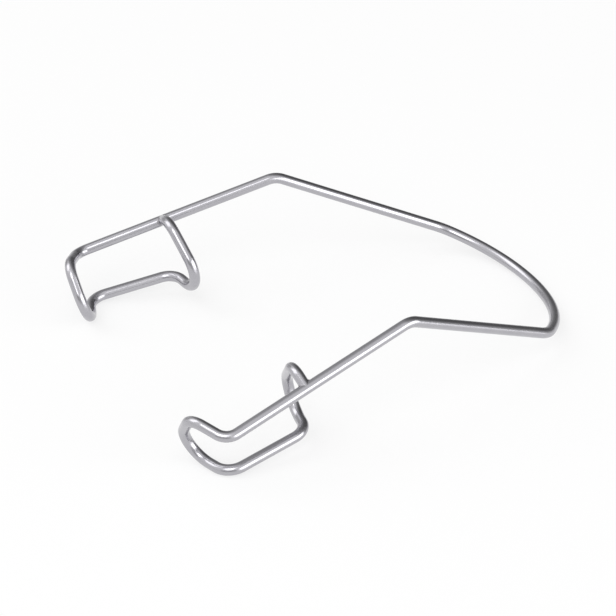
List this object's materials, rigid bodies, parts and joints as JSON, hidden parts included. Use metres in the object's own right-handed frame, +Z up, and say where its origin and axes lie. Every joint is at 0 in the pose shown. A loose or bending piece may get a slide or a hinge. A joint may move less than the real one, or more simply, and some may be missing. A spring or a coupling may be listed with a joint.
{
  "type": "eye speculum",
  "caption": "Spring wire eye speculum: a low bow, angled legs and arms, and a hooked open-wire lid blade at the end of each arm that holds the eyelids apart.",
  "frame": {"origin": "on the surface the speculum lies on, under the middle of its overall box, between the two knees", "axes": "+X along the length towards the spring bow, with the lid blades towards -X; +Y towards the right-hand side as held by the bow with the blades pointing away; +Z up from the surface it lies on"},
  "size_m": [0.0424, 0.034, 0.0104],
  "materials": {
    "spring_wire": "drawn stainless spring wire, polished bright with faint lines along the wire",
    "weld_metal": "stainless weld bead, blended and polished to the wire"
  },
  "bodies": {
    "bow": {"spring_bow": "spring_wire"},
    "right_side": {"right_shoulder": "spring_wire", "right_leg": "spring_wire", "right_knee": "spring_wire", "right_arm": "spring_wire", "right_tip": "spring_wire", "right_front_crest": "spring_wire", "right_front_drop": "spring_wire", "right_front_nose": "spring_wire", "right_front_return": "spring_wire", "right_lid_bar": "spring_wire", "right_rear_return": "spring_wire", "right_rear_nose": "spring_wire", "right_rear_drop": "spring_wire", "right_rear_crest": "spring_wire", "right_weld": "weld_metal"},
    "left_side": {"left_shoulder": "spring_wire", "left_leg": "spring_wire", "left_knee": "spring_wire", "left_arm": "spring_wire", "left_tip": "spring_wire", "left_front_crest": "spring_wire", "left_front_drop": "spring_wire", "left_front_nose": "spring_wire", "left_front_return": "spring_wire", "left_lid_bar": "spring_wire", "left_rear_return": "spring_wire", "left_rear_nose": "spring_wire", "left_rear_drop": "spring_wire", "left_rear_crest": "spring_wire", "left_weld": "weld_metal"}
  },
  "joints": [
    {"name": "right_squeeze", "type": "hinge", "parent": "bow", "child": "right_side", "pos_m": [0.01714, 0.00926, 0.00187], "axis": [0.4381, 0, 0.8989], "range_deg": [0, 15], "stiffness_Nm_per_rad": 0.43, "deforming": ["spring_bow"]},
    {"name": "left_squeeze", "type": "hinge", "parent": "bow", "child": "left_side", "pos_m": [0.01714, -0.00926, 0.00187], "axis": [-0.4381, 0, -0.8989], "range_deg": [0, 15], "stiffness_Nm_per_rad": 0.43, "deforming": ["spring_bow"]}
  ],
  "couplings": [
    {"joint": "left_squeeze", "follows": "right_squeeze", "ratio": 1}
  ]
}
